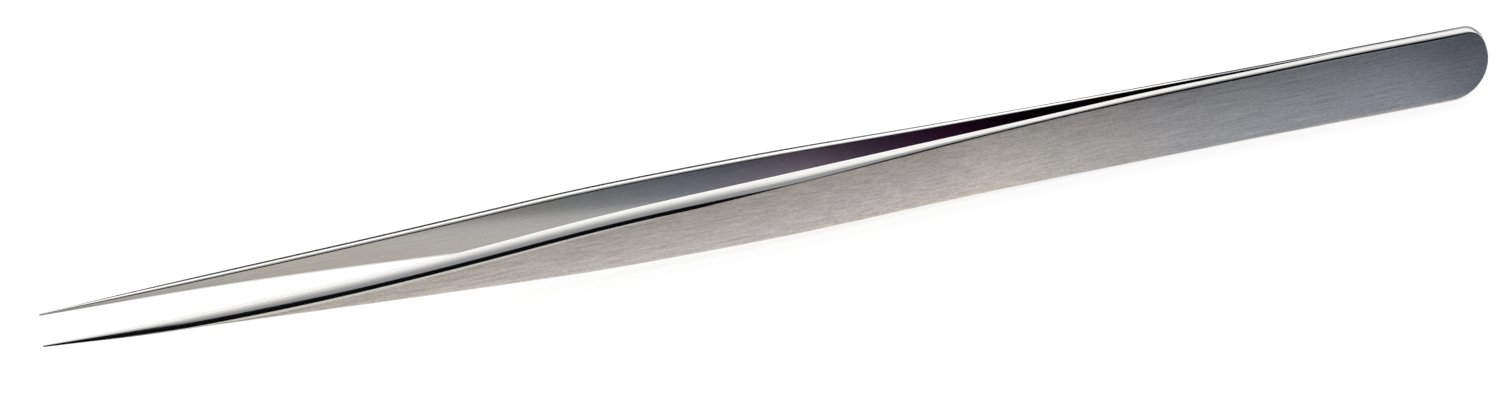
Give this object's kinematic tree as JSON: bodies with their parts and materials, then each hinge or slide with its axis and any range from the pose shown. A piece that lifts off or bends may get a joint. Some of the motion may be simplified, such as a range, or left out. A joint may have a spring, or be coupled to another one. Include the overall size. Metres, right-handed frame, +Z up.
{
  "type": "fine-point tweezers",
  "caption": "Straight tweezers with long slender satin-ground steel arms that taper to needle points, welded together at a flat rounded heel.",
  "frame": {"origin": "on the surface that the tweezers lie on, under the middle of their length and of their opening", "axes": "+X runs from the points to the heel, +Y is the way the arms open, +Z is up, across the width of the arms"},
  "size_m": [0.14, 0.0128, 0.0068],
  "materials": {
    "steel": "broad faces satin, ground lengthwise; long outer edges rounded and polished"
  },
  "bodies": {
    "root": {"left_arm": "steel", "right_arm": "steel"}
  },
  "joints": []
}
